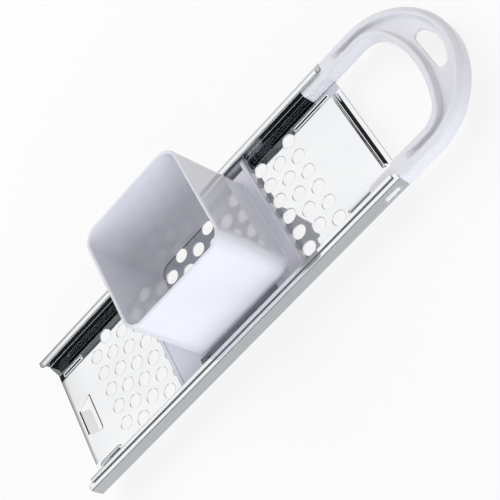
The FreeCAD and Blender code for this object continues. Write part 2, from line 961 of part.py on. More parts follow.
# Low ridges along the base's two ends.
ridges = new_sketch(hopper, "RidgeOutlines", "XY_Plane", size("base_top") - 0.5)
half_ridge = size("ridge_half_width")
for low, high in (
    (size("base_start"), size("base_start") + "ridge_width"),
    (size("base_end") - "ridge_width", size("base_end")),
):
    draw_rounded_box(ridges, low, high, -half_ridge, half_ridge, 1)
pad(hopper, "Ridges", ridges, size("ridge_height") + 0.5)
fillet(
    hopper,
    "RidgeTops",
    "ridge_top_radius",
    lambda c, s: near(c.z, S("base_top") + S("ridge_height")) and s.z < 0.01,
)

doc.recompute()
for item in doc.Objects:
    if "Invalid" in item.State or "Error" in item.State:
        raise ValueError(f"{item.Label} is {item.State}")
os.makedirs("parts", exist_ok=True)
for body in (frame, handle, hopper):
    if body.Shape.isNull() or not body.Shape.isValid():
        raise ValueError(f"{body.Label} is not a valid solid")
    if len(body.Shape.Solids) != 1:
        raise ValueError(f"{body.Label} has {len(body.Shape.Solids)} solids")
    body.Shape.exportStep(f"parts/{body.Label}.step")
    box = body.Shape.BoundBox
    print(body.Label, round(body.Shape.Volume), box)
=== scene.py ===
import math

import bmesh
import bpy
from mathutils import Matrix, Vector
from mathutils.geometry import delaunay_2d_cdt


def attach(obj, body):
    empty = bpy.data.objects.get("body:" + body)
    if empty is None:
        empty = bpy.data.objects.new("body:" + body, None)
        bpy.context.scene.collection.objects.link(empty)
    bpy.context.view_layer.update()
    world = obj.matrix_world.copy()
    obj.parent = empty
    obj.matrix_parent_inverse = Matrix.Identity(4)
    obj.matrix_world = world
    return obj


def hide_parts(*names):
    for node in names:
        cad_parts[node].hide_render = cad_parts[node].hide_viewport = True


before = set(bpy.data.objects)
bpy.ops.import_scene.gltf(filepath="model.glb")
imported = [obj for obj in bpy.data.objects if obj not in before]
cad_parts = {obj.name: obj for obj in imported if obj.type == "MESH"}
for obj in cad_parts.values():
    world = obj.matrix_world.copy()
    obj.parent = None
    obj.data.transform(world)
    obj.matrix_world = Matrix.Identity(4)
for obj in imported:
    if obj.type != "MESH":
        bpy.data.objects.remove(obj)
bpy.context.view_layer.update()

# Every piece is drawn in millimetres: x from the rails' low end, y from the middle
# line and z from the rails' undersides. It is then set into the tool's own frame.
LOW_END = -157.6
RAIL_UNDERSIDE = 8.9


# ------------------------------------------------------------------ materials
MAP_SOCKETS = ("From Min", "From Max", "To Min", "To Max")
NOISE_SPAN = (0.3, 0.7)  # nearly all of a noise pattern lies between these


def linear(code):
    """A hex sRGB colour as the linear values that a shader takes."""
    parts = [int(code[i : i + 2], 16) / 255 for i in (0, 2, 4)]
    low = [c / 12.92 if c <= 0.04045 else ((c + 0.055) / 1.055) ** 2.4 for c in parts]
    return (*low, 1.0)


def add(tree, kind, settings=(), values=(), links=()):
    """One node with its settings, its input values and what feeds it."""
    made = tree.nodes.new(kind)
    for name, value in dict(settings).items():
        setattr(made, name, value)
    for name, value in dict(values).items():
        made.inputs[name].default_value = value
    for name, source in dict(links).items():
        tree.links.new(source, made.inputs[name])
    return made


def new_material(name, values):
    mat = bpy.data.materials.new(name)
    mat.use_nodes = True
    tree = mat.node_tree
    tree.nodes.clear()
    shader = add(tree, "ShaderNodeBsdfPrincipled", values=values)
    add(tree, "ShaderNodeOutputMaterial", links={"Surface": shader.outputs[0]})
    place = add(tree, "ShaderNodeTexCoord").outputs["Object"]
    return mat, tree, shader, place


def streaks(tree, place, across_mm, along_mm, seed, detail=2.0):
    """Noise drawn out along the tool, with streaks of a width and a length."""
    stretch = add(
        tree,
        "ShaderNodeMapping",
        values={
            "Location": (seed, seed, seed),
            "Scale": (1000 / along_mm, 1000 / across_mm, 1000 / across_mm),
        },
        links={"Vector": place},
    )
    return add(
        tree,
        "ShaderNodeTexNoise",
        values={"Scale": 1.0, "Detail": detail},
        links={"Vector": stretch.outputs[0]},
    ).outputs["Fac"]


def dress_surface(tree, shader, tint, dullness, relief):
    """A finish's colour and dullness, each as (pattern, low, high), and its relief,
    as (pattern, strength, depth in metres)."""
    pattern, *codes = tint
    colour = add(tree, "ShaderNodeValToRGB", links={"Fac": pattern})
    for stop, at, code in zip(colour.color_ramp.elements, NOISE_SPAN, codes):
        stop.position, stop.color = at, linear(code)
    pattern, *ends = dullness
    rough = add(
        tree,
        "ShaderNodeMapRange",
        values=zip(MAP_SOCKETS, (*NOISE_SPAN, *ends)),
        links={"Value": pattern},
    )
    pattern, strength, depth = relief
    bump = add(
        tree,
        "ShaderNodeBump",
        values={"Strength": strength, "Distance": depth},
        links={"Height": pattern},
    )
    for name, made in (("Base Color", colour), ("Roughness", rough), ("Normal", bump)):
        tree.links.new(made.outputs[0], shader.inputs[name])
    return rough.outputs[0], bump.outputs[0]


# The flat plate rolls off a little towards the bends at its two long sides: where
# it starts and ends, from the middle line, and how far down it goes, in metres.
ROLL_OFF_FROM, ROLL_OFF_TO, ROLL_OFF_DROP = 0.0321, 0.0373, 0.00055


def rolled_stainless(name, low, high, dullness):
    """Rolled stainless steel: a near mirror in its bright copy. Its darker copy, for the
    channel floors, is a little rougher where the sliding feet run, and its darker colour
    there is painted shade. The rolls leave a faint haze in soft patches and lengthwise
    grain, 0.1 mm wide in truth and drawn at 0.9 mm so that it shows."""
    mat, tree, shader, place = new_material(name, {"Metallic": 1.0})
    grain = streaks(tree, place, 0.9, 60, 3.1)
    haze = streaks(tree, place, 18, 40, 7.7)
    hazy, grained = dress_surface(
        tree,
        shader,
        tint=(haze, low, high),
        dullness=(haze, dullness, dullness + 0.03),
        relief=(grain, 0.01, 0.00005),
    )
    lined = add(
        tree,
        "ShaderNodeMapRange",
        values=zip(MAP_SOCKETS, (*NOISE_SPAN, 0.0, 0.02)),
        links={"Value": grain},
    )
    rough = add(
        tree,
        "ShaderNodeMath",
        {"operation": "ADD"},
        links={0: lined.outputs[0], 1: hazy},
    )
    tree.links.new(rough.outputs[0], shader.inputs["Roughness"])
    across = add(tree, "ShaderNodeSeparateXYZ", links={"Vector": place}).outputs["Y"]
    from_middle = add(tree, "ShaderNodeMath", {"operation": "ABSOLUTE"}, links={0: across})
    fall = add(
        tree,
        "ShaderNodeMapRange",
        values=zip(MAP_SOCKETS, (ROLL_OFF_FROM, ROLL_OFF_TO, 0.0, -ROLL_OFF_DROP)),
        links={"Value": from_middle.outputs[0]},
    )
    rolled = add(
        tree,
        "ShaderNodeBump",
        values={"Strength": 1.0, "Distance": 1.0},
        links={"Height": fall.outputs[0], "Normal": grained},
    )
    tree.links.new(rolled.outputs[0], shader.inputs["Normal"])
    return mat


def brushed_stainless():
    """Brushed stainless steel: soft grey gloss drawn out along the rail by brush
    lines, 0.3 mm apart in truth and drawn at 0.5 mm so that they show."""
    mat, tree, shader, place = new_material(
        "brushed stainless steel", {"Metallic": 1.0, "Anisotropic": 0.4}
    )
    lines = streaks(tree, place, 0.5, 30, 11.3, 3.0)
    dress_surface(
        tree,
        shader,
        tint=(lines, "B4B8BB", "C0C3C5"),
        dullness=(lines, 0.2, 0.3),
        relief=(lines, 0.08, 0.00008),
    )
    return mat


def gloss_plastic(name, low, high, seed):
    """Polished moulded ABS: a wet-looking gloss over opaque white, with the slow
    waviness, 35 mm from crest to crest, that a moulding shows in its reflections,
    and a mottle of 2.5 mm in how sharp they are."""
    mat, tree, shader, place = new_material(name, {"IOR": 1.54})
    slow = streaks(tree, place, 35, 35, seed)
    mottle = streaks(tree, place, 2.5, 2.5, seed + 5)
    dress_surface(
        tree,
        shader,
        tint=(slow, low, high),
        dullness=(mottle, 0.06, 0.1),
        relief=(slow, 0.06, 0.0004),
    )
    return mat


BRIGHT_STEEL = rolled_stainless("bright-rolled stainless steel", "E2E4E6", "E9EAEB", 0.02)
# A darker copy for the channel floors: its dark colour is painted shade.
SHADED_CHANNEL_STEEL = rolled_stainless("channel stainless steel, darkened as painted shade", "7C8285", "8E9497", 0.05)
BRUSHED_STEEL = brushed_stainless()
HOPPER_ABS = gloss_plastic("polished white ABS, hopper", "EAEAF1", "EFEFF5", 2.0)
# The base is a darker copy of the hopper's white ABS: its darker colour is painted shade.
SHADED_BASE_ABS = gloss_plastic("polished white ABS, base, darkened as painted shade", "CFCFDA", "D7D7E1", 5.0)
HANDLE_ABS = gloss_plastic("polished white ABS, handle", "E6E6EB", "ECECF1", 9.0)


# ----------------------------------------------------------------- mesh tools
SMALLEST_ROUND = 0.01
CREASE = 38              # a sharper turn than this, in degrees, stays a sharp edge


def quarter(radius, steps):
    """A quarter round as (inset, depth) pairs, from a face down to its side."""
    turns = [math.pi / 2 * step / steps for step in range(steps + 1)]
    return [(radius * (1 - math.sin(a)), radius * (1 - math.cos(a))) for a in turns]


def hollow(radius, steps):
    """A concave quarter from a floor up to a wall, as (outset, rise) pairs."""
    turns = [math.pi / 2 * step / steps for step in range(steps + 1)]
    return [(radius * math.sin(a), radius * (1 - math.cos(a))) for a in turns]


def wall_round(radius, steps):
    """A convex quarter from a wall up to the top, as (outset, depth) pairs."""
    turns = [math.pi / 2 * step / steps for step in range(steps + 1)]
    return [(radius * (1 - math.cos(a)), radius * (1 - math.sin(a))) for a in turns]


def arc(cx, cy, radius, start, stop, steps):
    """Points on an arc, in degrees, both ends included."""
    turns = [math.radians(start + (stop - start) * k / steps) for k in range(steps + 1)]
    return [(cx + radius * math.cos(a), cy + radius * math.sin(a)) for a in turns]


def circle(x, y, radius, steps=32):
    return arc(x, y, radius, 0, 360 * (steps - 1) / steps, steps - 1)


def rounded_box(box, inset, steps, share=1.0):
    """The outline of a box (x0, x1, y0, y1, corner radius) drawn in by an inset,
    with its corners tightened by a share of the inset."""
    x0, x1, y0, y1, radius = box
    x0, x1, y0, y1 = x0 + inset, x1 - inset, y0 + inset, y1 - inset
    r = max(radius - inset * share, SMALLEST_ROUND)
    return (
        arc(x0 + r, y0 + r, r, 180, 270, steps)
        + arc(x1 - r, y0 + r, r, 270, 360, steps)
        + arc(x1 - r, y1 - r, r, 0, 90, steps)
        + arc(x0 + r, y1 - r, r, 90, 180, steps)
    )


def row(bm, points):
    return [bm.verts.new(point) for point in points]


def bridge(bm, rows, closed=True):
    """Quads from each row of vertices to the next."""
    for a, b in zip(rows, rows[1:]):
        for i in range(len(a) if closed else len(a) - 1):
            j = (i + 1) % len(a)
            corners = [a[i], a[j], b[j], b[i]]
            if len(set(corners)) > 2:
                bm.faces.new(corners)


def inside(x, y, outline):
    """Whether a point lies within a closed outline."""
    crossings = 0
    for (x0, y0), (x1, y1) in zip(outline, outline[1:] + outline[:1]):
        if (y0 > y) != (y1 > y) and x < x0 + (y - y0) * (x1 - x0) / (y1 - y0):
            crossings += 1
    return crossings % 2 == 1


def flat_fill(bm, outlines, to_space):
    """Fill the flat region between an outer outline and the holes in it."""
    points, edges, reaches = [], [], []
    for outline in outlines:
        first = len(points)
        points += [Vector(point) for point in outline]
        count = len(outline)
        edges += [(first + i, first + (i + 1) % count) for i in range(count)]
        xs, ys = zip(*outline)
        reaches.append((min(xs), max(xs), min(ys), max(ys), outline))
    within_edges, same_point = 1, 1e-5
    flat, _, faces, _, _, _ = delaunay_2d_cdt(points, edges, [], within_edges, same_point)
    verts = [bm.verts.new(to_space(p.x, p.y)) for p in flat]
    for face in faces:
        x, y = sum((flat[i] for i in face), Vector((0, 0))) / len(face)
        within = [
            x0 <= x <= x1 and y0 <= y <= y1 and inside(x, y, outline)
            for x0, x1, y0, y1, outline in reaches
        ]
        if within[0] and not any(within[1:]):
            bm.faces.new([verts[i] for i in face])


def slab(bm, outline, low, high, edge, to_space=lambda x, y, z: (x, y, z)):
    """A closed block over an outline, with its rims rounded."""
    levels = [(inset, low + depth) for inset, depth in quarter(edge, 3)]
    levels += [(inset, high - depth) for inset, depth in reversed(quarter(edge, 3))]
    rows = [row(bm, [to_space(x, y, z) for x, y in outline(inset)]) for inset, z in levels]
    bridge(bm, rows)
    bm.faces.new(rows[0])
    bm.faces.new(rows[-1])


def close_up(bm, gap):
    """Merge what lies within a gap of each other, and turn all faces outwards."""
    bmesh.ops.remove_doubles(bm, verts=bm.verts, dist=gap)
    bmesh.ops.dissolve_degenerate(bm, edges=bm.edges, dist=gap / 4)
    bmesh.ops.recalc_face_normals(bm, faces=bm.faces)


def to_mesh(bm, name):
    mesh = bpy.data.meshes.new(name)
    bm.to_mesh(mesh)
    bm.free()
    return mesh


def new_object(name, data):
    made = bpy.data.objects.new(name, data)
    bpy.context.collection.objects.link(made)
    return made


def plain_mesh(piece):
    """The mesh of a piece with its modifiers worked out."""
    bpy.context.view_layer.update()
    ready = piece.evaluated_get(bpy.context.evaluated_depsgraph_get())
    return bpy.data.meshes.new_from_object(ready)


def finish_piece(bm, name, materials, body, node):
    """Set a drawn piece into the tool's frame and hand it over."""
    into_frame = Matrix.Scale(0.001, 4) @ Matrix.Translation((LOW_END, 0, RAIL_UNDERSIDE))
    bmesh.ops.transform(bm, matrix=into_frame, verts=bm.verts)
    mesh = to_mesh(bm, name)
    for material in materials:
        mesh.materials.append(material)
    mesh.polygons.foreach_set("use_smooth", [True] * len(mesh.polygons))
    mesh.set_sharp_from_angle(angle=math.radians(CREASE))
    piece = new_object(name, mesh)
    even = piece.modifiers.new("flat faces stay flat", "WEIGHTED_NORMAL")
    even.keep_sharp = True
    even.weight = 100
    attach(piece, body)
    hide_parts(node)


# ---------------------------------------------------------------- folded sheet
SHEET = 0.8
RAIL_LENGTH = 248.0
RAIL_SIDE = 50.0         # the outer walls' outside faces, from the middle line
RAIL_INSIDE = RAIL_SIDE - SHEET
PLATE_TOP, PLATE_UNDER = 1.66, 0.86
PLATE_EDGE = 37.15       # where the flat plate meets the step down to a channel
STEP_EDGE = 37.75        # where that step goes down
SET_BACK = 4.2           # the plate ends this far inside the rails' low end
FLOOR_END = 47.6         # out here the slanted cut has come back to that end
SLANT_FADE = 8.0         # this far in, the low end's columns are even again
HEM_TRIM = 3.2           # the hem stops this far inside the rails' two ends
LIP_EDGE, LIP_ROUND = 44.75, 2.5  # the lip's inner edge, and its round at the ends
SHEAR = 0.3              # a sheared edge is rounded by this much
TIGHT_BEND, WIDE_BEND = 0.4, 1.2
HEM_BEND, HEM_FOLD = 0.949, 0.149

# Strip p of the rail's section lies between pair p and the next, from the plate out.
BEND = 7                 # pairs on each bend
CHANNEL_FLOOR, WALL = 2 * BEND, 3 * BEND
LIP = 4 * BEND + 1       # the pair at the lip's inner edge, where the hem folds back
# The channel floors take the darker steel, which is painted shade.
BRUSHED, SHADED_CHANNEL = 1, 2   # places in the sheet's list of materials

# The pressed shapes and the snap slot are boxes (x0, x1, y0, y1, corner radius).
STOPS = [
    (7.1, 25.6, 33.3, 37.05, 1.875),
    (212.3, 241.4, 33.3, 37.05, 1.875),
    (7.1, 25.6, -37.05, -33.3, 1.875),
    (212.3, 241.4, -37.05, -33.3, 1.875),
]
RIB = (241.0, 245.4, -32.0, 32.0, 2.2)
SLOT = (233.0, 244.0, 2.3, 6.3, 2.0)
PRESSED_UP = 1.1         # the height of the stops and the rib
CREST = 0.96             # how far in a pressed wave goes before it is closed

HOLE_RADIUS, HOLE_SPACING, ROW_SPACING, FIRST_ROW = 4.15, 13.0, 11.48, 34.4
HOLE_ROWS = ((5, 0), (6, 1))  # holes in a row, and where the first such row comes
ROWS_EACH = 8
HOLE_ROLL = (0.45, 0.4)  # width and depth of the roll where a punch went in
HOOK_ROLL = (1.2, 0.6)

HOOK_ROOT = 7.1          # where the hook starts to bend down
HOOK_BEND = 1.5          # the radius of that bend's outside
HOOK_FRONT = HOOK_ROOT + HOOK_BEND
HOOK_DROP = 8.9          # from the rails' undersides down to the tip
HOOK_SIDES, HOOK_FLARE = (-12.5, 5.7), (-3.6, 4.7)
TIP_ROUND = ((2.0, 0.0), (1.2, 0.17), (0.6, 0.57), (0.2, 1.13), (0.0, 2.0))


def bent_line(corners):
    """A line through corners (across, up, radius), with its bends rounded."""
    points = [corners[0][:2]]
    for before, corner, after in zip(corners, corners[1:], corners[2:]):
        at = Vector(corner[:2])
        back = (Vector(before[:2]) - at).normalized()
        on = (Vector(after[:2]) - at).normalized()
        half = back.angle(on) / 2
        centre = at + (back + on).normalized() * (corner[2] / math.sin(half))
        start = (at + back * (corner[2] / math.tan(half)) - centre).normalized()
        stop = (at + on * (corner[2] / math.tan(half)) - centre).normalized()
        for k in range(BEND):
            points.append(tuple(centre + start.slerp(stop, k / (BEND - 1)) * corner[2]))
    points.append(corners[-1][:2])
    return points


def sheet_section():
    """The sheet's two faces from the plate's edge out to the hem's free edge, as
    pairs of points across its thickness."""
    upper = [
        (PLATE_EDGE, PLATE_TOP),
        (STEP_EDGE, PLATE_TOP, TIGHT_BEND),
        (38.61, SHEET, TIGHT_BEND),
        (RAIL_INSIDE, SHEET, TIGHT_BEND),
        (RAIL_INSIDE, 8.8, TIGHT_BEND),
        (43.8, 8.8, HEM_BEND),
        (43.8, 10.7, HEM_BEND),
        (46.6, 10.7),
    ]
    under = [
        (PLATE_EDGE, PLATE_UNDER),
        (37.42, PLATE_UNDER, TIGHT_BEND),
        (38.28, 0.0, TIGHT_BEND),
        (RAIL_SIDE, 0.0, WIDE_BEND),
        (RAIL_SIDE, 9.6, WIDE_BEND),
        (44.6, 9.6, HEM_FOLD),
        (44.6, 9.9, HEM_FOLD),
        (46.6, 9.9),
    ]
    return list(zip(bent_line(upper), bent_line(under)))


SECTION = sheet_section()
# How far inside each end the sheet is cut across, and how far its edge is squeezed
# there to round it.
END_OFFSETS = [d for _, d in quarter(SHEAR, 2)] + [0.45, 0.85, 1.4, 2.0]
END_OFFSETS += [LIP_ROUND, HEM_TRIM]
END_INSETS = [i for i, _ in quarter(SHEAR, 2)] + [0.0] * 6


def floor_slant(y, z):
    """How far the low end is cut back at a point of the section."""
    if z > PLATE_TOP + 0.1 or y >= FLOOR_END:
        return 0.0
    return SET_BACK * min(1.0, (FLOOR_END - y) / (FLOOR_END - STEP_EDGE))


def stations():
    """(distance along the rails, squeeze of the sheet's edge, end) in order."""
    low = [(o, i, -1) for o, i in zip(END_OFFSETS, END_INSETS)]
    middle = [(x, 0.0, 0) for x in (SLANT_FADE, 60.0, 120.0, 180.0, 228.0)]
    high = [(RAIL_LENGTH - o, i, 1) for o, i in zip(END_OFFSETS, END_INSETS)]
    return low + middle + high[::-1]


def section_point(station, pair, face):
    """Where one face of one pair lies at a station."""
    x, squeeze, end = station
    here, other = SECTION[pair][face], SECTION[pair][1 - face]
    y, z = here
    if squeeze:
        way = (Vector(other) - Vector(here)).normalized() * squeeze
        y, z = y + way.x, z + way.y
    if end < 0:
        start = floor_slant(*here)
        if start and x > SHEAR + 1e-6:
            x = SHEAR + (x - SHEAR) * (SLANT_FADE - start) / SLANT_FADE
        x += start
    from_end = x if end < 0 else RAIL_LENGTH - x
    if pair == LIP and end and from_end < LIP_ROUND:
        y = LIP_EDGE + LIP_ROUND - math.sqrt(LIP_ROUND**2 - (LIP_ROUND - from_end) ** 2)
    return x, y, z


def rail_side(bm, side):
    """One rail: step, channel floor, outer wall, lip and hem."""
    places = stations()
    hem_from = len(END_OFFSETS) - 1
    hem_to = len(places) - len(END_OFFSETS)
    last = len(SECTION) - 1
    grid = {}
    for s, station in enumerate(places):
        for p in range(len(SECTION)):
            if p > LIP and not hem_from <= s <= hem_to:
                continue
            for face in (0, 1):
                x, y, z = section_point(station, p, face)
                grid[s, p, face] = bm.verts.new((x, y * side, z))
    for s in range(len(places) - 1):
        for p in range(last):
            if p >= LIP and not hem_from <= s < hem_to:
                continue
            if p == WALL and s == hem_to - 1:
                continue
            # The outer walls are brushed. On the far rail, the lip's top takes that greyer
            # finish too, and there its greyer colour is painted shade.
            brushed = WALL - 3 <= p <= WALL + 3 or (side > 0 and p == LIP - 1)
            for face in (0, 1):
                quad = bm.faces.new(
                    [grid[s, p, face], grid[s + 1, p, face], grid[s + 1, p + 1, face],
                     grid[s, p + 1, face]]
                )
                if face and brushed:
                    quad.material_index = BRUSHED
                # The channel floor's top face takes the darker steel: painted shade.
                elif p == CHANNEL_FLOOR and not face:
                    quad.material_index = SHADED_CHANNEL
    for s in range(len(places) - 1):
        p = last if hem_from <= s < hem_to else LIP
        free_edge = bm.faces.new(
            [grid[s, p, 0], grid[s + 1, p, 0], grid[s + 1, p, 1], grid[s, p, 1]]
        )
        free_edge.material_index = BRUSHED
    for s, span in (
        (0, range(LIP)),
        (len(places) - 1, range(LIP)),
        (hem_from, range(LIP, last)),
        (hem_to, range(LIP, last)),
    ):
        for p in span:
            sheared = bm.faces.new(
                [grid[s, p, 0], grid[s, p + 1, 0], grid[s, p + 1, 1], grid[s, p, 1]]
            )
            sheared.material_index = BRUSHED
    slotted_wall(bm, side, places[hem_to - 1][0], places[hem_to][0])


def slotted_wall(bm, side, start, stop):
    """The stretch of outer wall with the snap slot for the handle's nub."""
    low, high = SECTION[WALL][1][1], SECTION[WALL + 1][1][1]
    wall_line = [(start, low), (stop, low), (stop, high), (start, high)]
    slot_edge = rounded_box(SLOT, -SHEAR, 8)
    first = len(bm.faces)
    for y in (RAIL_SIDE, RAIL_INSIDE):
        flat_fill(bm, [wall_line, slot_edge], lambda x, z: (x, y * side, z))
        if y == RAIL_SIDE:
            bm.faces.ensure_lookup_table()
            for face in bm.faces[first:]:
                face.material_index = BRUSHED
    levels = [(i, RAIL_SIDE - d) for i, d in quarter(SHEAR, 3)]
    levels += [(i, RAIL_INSIDE + d) for i, d in reversed(quarter(SHEAR, 3))]
    rows = [
        row(bm, [(x, y * side, z) for x, z in rounded_box(SLOT, -out, 8)])
        for out, y in levels
    ]
    bridge(bm, rows)


def punched_edge(roll):
    """(outset, height) down a punched edge: rolled in where the punch went in."""
    levels = [(roll[0] * i, PLATE_TOP - roll[1] * d) for i, d in quarter(1, 6)]
    return levels + [(i, PLATE_UNDER + d) for i, d in reversed(quarter(0.16, 2))]


def cut_out_line(out):
    """The opening that the pot hook leaves in the plate, from its root round: its
    sides spread from two shoulders to a straight end with round corners."""
    shoulder, end, corner = 9.6, 17.1, 1.0
    near, far = -69, 64  # which way the spreading sides face, in degrees
    low, high = HOOK_SIDES
    return (
        [(HOOK_ROOT, low), (HOOK_FRONT, low)]
        + arc(shoulder, -12.88, out, near, near, 1)[:1]
        + arc(end, -14.69, corner + out, near, 0, 5)
        + arc(end, 8.78, corner + out, 0, far, 5)
        + arc(shoulder, 6.19, out, far, far, 1)[:1]
        + [(HOOK_FRONT, high), (HOOK_ROOT, high)]
    )


def pot_hook(bm):
    """The tongue left by the cut-out, bent down over a pot's rim. It widens to its
    tip, whose corners are rounded."""
    turns = [math.pi / 2 * k / 6 for k in range(7)]
    tip = [(0.0, 0.0)] + [(up - HOOK_DROP, inset) for up, inset in TIP_ROUND]
    outer, inner = (
        [
            (HOOK_ROOT + radius * math.sin(a), PLATE_TOP - HOOK_BEND + radius * math.cos(a))
            for a in turns
        ]
        + [(HOOK_ROOT + radius, z) for z, _ in tip]
        for radius in (HOOK_BEND, HOOK_BEND - SHEET)
    )
    insets = [0.0] * len(turns) + [inset for _, inset in tip]
    levels = [(PLATE_TOP - z) / SHEET for _, z in punched_edge(HOOK_ROLL)]
    rows = []
    for (xo, zo), (xi, zi), inset in zip(outer, inner, insets):
        down = max(0.0, -zo / HOOK_DROP)
        y0, y1 = (side + flare * down for side, flare in zip(HOOK_SIDES, HOOK_FLARE))
        through = [(xo + (xi - xo) * part, zo + (zi - zo) * part) for part in levels]
        edge = [(x, y1 - inset, z) for x, z in through]
        rows.append(row(bm, edge + [(x, y0 + inset, z) for x, z in reversed(through)]))
    bridge(bm, rows)
    bm.faces.new(rows[-1])


def pressed(bm, box, base, steps=10):
    """A shape pressed up out of the sheet: an even wave from foot to crest."""
    rows = []
    for step in range(steps + 1):
        part = step / steps
        z = base + PRESSED_UP * (0.5 - 0.5 * math.cos(math.pi * part))
        line = rounded_box(box, box[-1] * part * CREST, 6)
        rows.append(row(bm, [(x, y, z) for x, y in line]))
    bridge(bm, rows)
    bm.faces.new(rows[-1])


def hole_centres():
    for count, start in HOLE_ROWS:
        for along in range(ROWS_EACH):
            x = FIRST_ROW + ROW_SPACING * (2 * along + start)
            for across in range(count):
                yield x, HOLE_SPACING * (across - (count - 1) / 2)


def plate_blank():
    """The flat plate between the steps, open at every punched hole."""
    bm = bmesh.new()
    places = stations()
    along = [section_point(s, 0, 0)[0] for s in places][2:-2]
    border = [(x, -PLATE_EDGE) for x in along]
    border += [(x, PLATE_EDGE) for x in reversed(along)]
    pressings = [*STOPS, RIB]
    for z, level in ((PLATE_TOP, 0), (PLATE_UNDER, -1)):
        hook_edge = punched_edge(HOOK_ROLL)[level][0]
        hole_edge = HOLE_RADIUS + punched_edge(HOLE_ROLL)[level][0]
        outlines = [border, cut_out_line(hook_edge)]
        outlines += [rounded_box(box, 0, 6) for box in pressings]
        outlines += [circle(x, y, hole_edge) for x, y in hole_centres()]
        flat_fill(bm, outlines, lambda x, y: (x, y, z))
        for box in pressings:
            pressed(bm, box, z)
    for group in (places[:3], places[-3:]):
        for face in (0, 1):
            rows = []
            for station in group:
                x, y, z = section_point(station, 0, face)
                rows.append(row(bm, [(x, -y, z), (x, y, z)]))
            bridge(bm, rows, closed=False)
    for station in (places[0], places[-1]):
        a = section_point(station, 0, 0)
        b = section_point(station, 0, 1)
        bm.faces.new(row(bm, [a, (a[0], -a[1], a[2]), (b[0], -b[1], b[2]), b]))
    rows = [
        row(bm, [(x, y, z) for x, y in cut_out_line(out)])
        for out, z in punched_edge(HOOK_ROLL)
    ]
    bridge(bm, rows, closed=False)
    close_up(bm, 0.004)
    return new_object("plate blank", to_mesh(bm, "plate blank"))


def hole_collar():
    """The wall of one punched hole, with both its edges rounded."""
    bm = bmesh.new()
    rows = [
        row(bm, [(x, y, z) for x, y in circle(0, 0, HOLE_RADIUS + out)])
        for out, z in punched_edge(HOLE_ROLL)
    ]
    bridge(bm, rows)
    return new_object("hole collar", to_mesh(bm, "hole collar"))


def perforation_tree():
    """Rows of holes, every second one half a spacing over and one hole longer."""
    tree = bpy.data.node_groups.new("perforation", "GeometryNodeTree")
    new_socket = tree.interface.new_socket
    new_socket("Geometry", in_out="OUTPUT", socket_type="NodeSocketGeometry")
    new_socket("Geometry", in_out="INPUT", socket_type="NodeSocketGeometry")
    new_socket("Collar", in_out="INPUT", socket_type="NodeSocketObject")
    new_socket("Steel", in_out="INPUT", socket_type="NodeSocketMaterial")
    for name in ("Hole spacing", "Row spacing", "First row"):
        new_socket(name, in_out="INPUT", socket_type="NodeSocketFloat")
    given = add(tree, "NodeGroupInput").outputs
    collar = add(tree, "GeometryNodeObjectInfo", links={"Object": given["Collar"]})
    parts = []
    for count, start in HOLE_ROWS:
        length, width, half_length = (
            add(
                tree,
                "ShaderNodeMath",
                {"operation": "MULTIPLY"},
                {1: times},
                {0: given[size]},
            )
            for size, times in (
                ("Row spacing", 2 * (ROWS_EACH - 1)),
                ("Hole spacing", count - 1),
                ("Row spacing", ROWS_EACH - 1 + start),
            )
        )
        grid = add(
            tree,
            "GeometryNodeMeshGrid",
            values={"Vertices X": ROWS_EACH, "Vertices Y": count},
            links={"Size X": length.outputs[0], "Size Y": width.outputs[0]},
        )
        middle = add(
            tree,
            "ShaderNodeMath",
            {"operation": "ADD"},
            links={0: given["First row"], 1: half_length.outputs[0]},
        )
        shift = add(tree, "ShaderNodeCombineXYZ", links={"X": middle.outputs[0]})
        moved = add(
            tree,
            "GeometryNodeTransform",
            links={"Geometry": grid.outputs["Mesh"], "Translation": shift.outputs[0]},
        )
        points = add(tree, "GeometryNodeMeshToPoints", links={"Mesh": moved.outputs[0]})
        parts.append(
            add(
                tree,
                "GeometryNodeInstanceOnPoints",
                links={
                    "Points": points.outputs[0],
                    "Instance": collar.outputs["Geometry"],
                },
            )
        )
    join = add(tree, "GeometryNodeJoinGeometry", links={"Geometry": given["Geometry"]})
    for part in parts:
        tree.links.new(part.outputs[0], join.inputs["Geometry"])
    real = add(tree, "GeometryNodeRealizeInstances", links={"Geometry": join.outputs[0]})
    paint = add(
        tree,
        "GeometryNodeSetMaterial",
        links={"Geometry": real.outputs[0], "Material": given["Steel"]},
    )
    add(tree, "NodeGroupOutput", links={"Geometry": paint.outputs[0]})
    return tree


def perforated_plate():
    """The plate with its holes, as a plain mesh."""
    blank, collar = plate_blank(), hole_collar()
    tree = perforation_tree()
    punch = blank.modifiers.new("perforation", "NODES")
    punch.node_group = tree
    values = {
        "Collar": collar,
        "Steel": BRIGHT_STEEL,
        "Hole spacing": HOLE_SPACING,
        "Row spacing": ROW_SPACING,
        "First row": FIRST_ROW,
    }
    for item in tree.interface.items_tree:
        if item.in_out == "INPUT" and item.name in values:
            punch[item.identifier] = values[item.name]
    mesh = plain_mesh(blank)
    for spent in (blank, collar):
        bpy.data.objects.remove(spent)
    return mesh


def folded_sheet():
    """The one folded blank: plate, rails, travel stops, rib and pot hook."""
    plate = perforated_plate()
    bm = bmesh.new()
    bm.from_mesh(plate)
    bpy.data.meshes.remove(plate)
    for face in bm.faces:
        face.material_index = 0
    for side in (1, -1):
        rail_side(bm, side)
    pot_hook(bm)
    close_up(bm, 0.004)
    finish_piece(
        bm,
        "folded_sheet",
        [BRIGHT_STEEL, BRUSHED_STEEL, SHADED_CHANNEL_STEEL],
        "frame",
        "steel_frame",
    )


